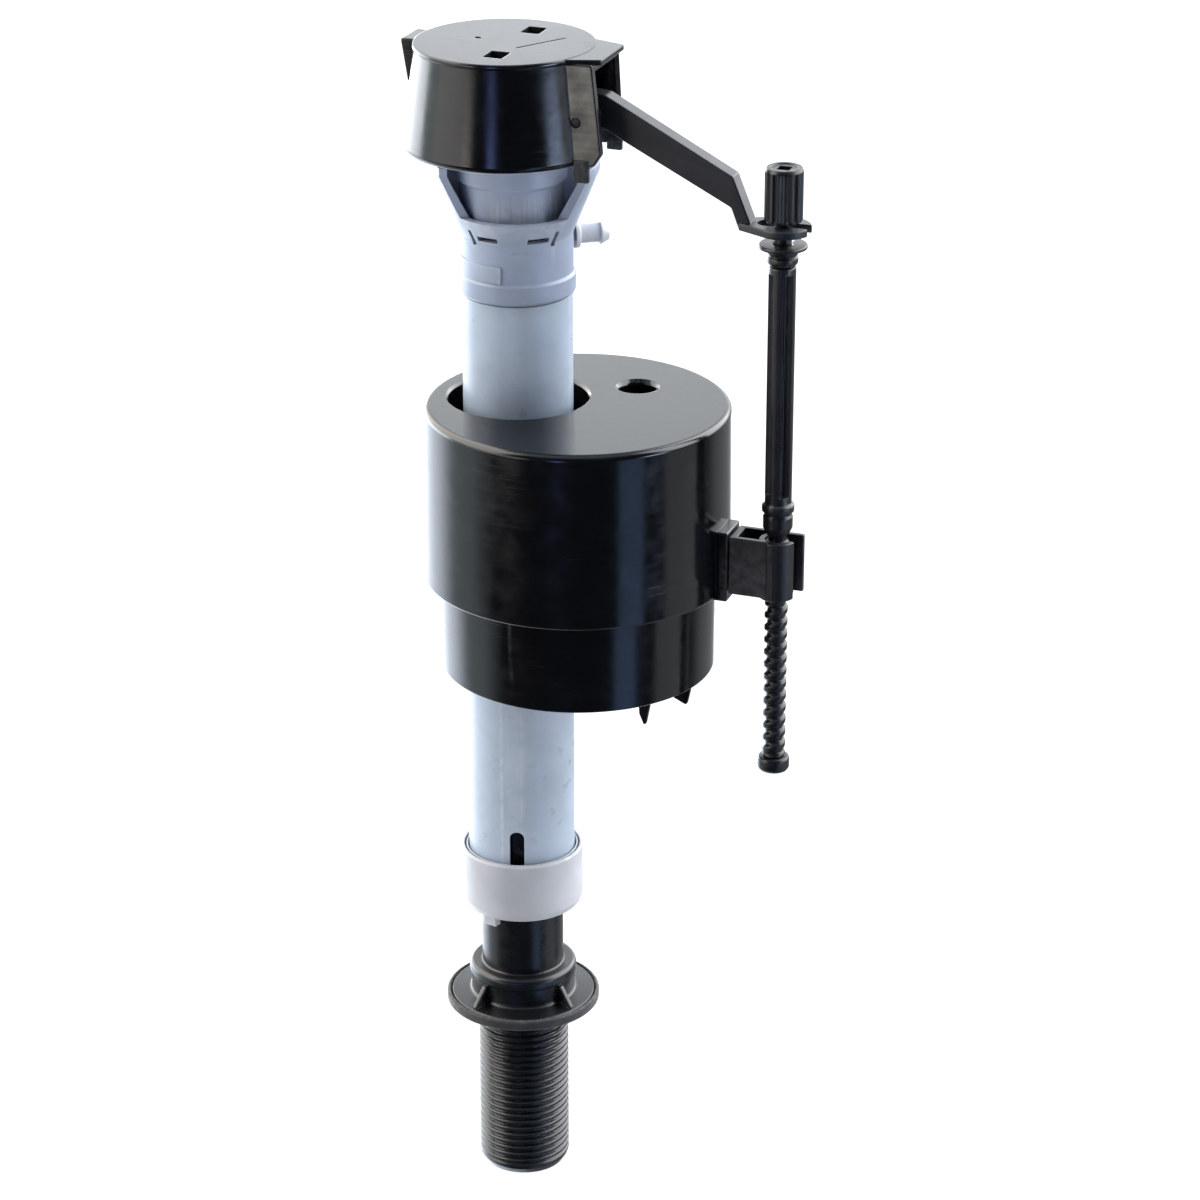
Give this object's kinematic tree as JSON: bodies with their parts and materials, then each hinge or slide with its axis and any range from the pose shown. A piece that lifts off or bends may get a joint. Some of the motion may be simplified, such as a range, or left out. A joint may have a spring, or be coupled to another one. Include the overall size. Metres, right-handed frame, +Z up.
{
  "type": "toilet fill valve",
  "caption": "Float-cup toilet fill valve: threaded tank shank, telescopic riser with lock ring, valve body under a bayonet cap, lever, screw-adjusted rod and sliding float.",
  "frame": {"origin": "on the shank's axis, in the plane of the tank washer's underside, which seats on the tank floor", "axes": "+Z up the riser, +X from the riser towards the adjusting rod"},
  "size_m": [0.0959, 0.072, 0.2864],
  "materials": {
    "cap_black": "glossy moulded black plastic",
    "float_black": "glossy moulded black plastic",
    "lever_black": "satin moulded black plastic",
    "clip_black": "satin moulded black plastic",
    "rod_black": "satin moulded black plastic",
    "shank_black": "satin slate-black plastic",
    "riser_grey": "smooth light blue-grey plastic",
    "body_grey": "smooth light blue-grey plastic",
    "nipple_grey": "smooth pale grey plastic",
    "lock_ring_white": "satin off-white plastic",
    "plastic_white": "satin white plastic",
    "rubber_black": "matte black rubber",
    "rubber_red": "matte red rubber",
    "steel": "bright steel"
  },
  "bodies": {
    "base": {"threaded_shank": "shank_black", "tank_washer": "rubber_black", "pipe_seal": "rubber_black", "pipe_guide_ring": "plastic_white"},
    "riser": {"riser_tube": "riser_grey", "supply_tube": "plastic_white", "valve_seat": "plastic_white", "valve_body": "body_grey", "refill_nipple": "nipple_grey"},
    "lock_ring": {"lock_ring": "lock_ring_white"},
    "cap": {"cap": "cap_black", "pivot_pin": "lever_black", "diaphragm": "rubber_red", "metering_pin": "steel"},
    "insert": {"diaphragm_insert": "plastic_white"},
    "lever": {"lever": "lever_black", "pilot_seal": "rubber_black"},
    "hanger": {"rod_retainer": "rod_black"},
    "rod": {"adjusting_rod": "rod_black"},
    "float": {"float_cup": "float_black", "adjuster_clip": "clip_black"}
  },
  "joints": [
    {"name": "riser_slide", "type": "slide", "parent": "base", "child": "riser", "axis": [0, 0, 1], "range_m": [-0.0122, 0.114]},
    {"name": "lock_ring_twist", "type": "hinge", "parent": "riser", "child": "lock_ring", "pos_m": [0, 0, 0.035], "axis": [0, 0, 1], "range_deg": [0, 60]},
    {"name": "cap_twist", "type": "hinge", "parent": "riser", "child": "cap", "pos_m": [-0.0026, 0, 0.2174], "axis": [0, 0, 1], "range_deg": [0, 45]},
    {"name": "diaphragm_lift", "type": "slide", "parent": "cap", "child": "insert", "axis": [0, 0, 1], "range_m": [0, 0.001], "deforming": ["diaphragm"]},
    {"name": "lever_swing", "type": "hinge", "parent": "cap", "child": "lever", "pos_m": [0.0183, 0, 0.2273], "axis": [0, -1, 0], "range_deg": [0, 9.85]},
    {"name": "float_travel", "type": "slide", "parent": "cap", "child": "hanger", "axis": [0, 0, 1], "range_m": [0, 0.0075]},
    {"name": "rod_spin", "type": "hinge", "parent": "hanger", "child": "rod", "pos_m": [0.06365, 0, 0.2], "axis": [0, 0, 1], "range_deg": [0, 4600]},
    {"name": "level_adjust", "type": "slide", "parent": "hanger", "child": "float", "axis": [0, 0, 1], "range_m": [-0.0396, 0]}
  ],
  "couplings": [
    {"joint": "lever_swing", "follows": "float_travel", "rad_per_m": 22.8},
    {"joint": "rod_spin", "follows": "level_adjust", "rad_per_m": -2026.8}
  ]
}
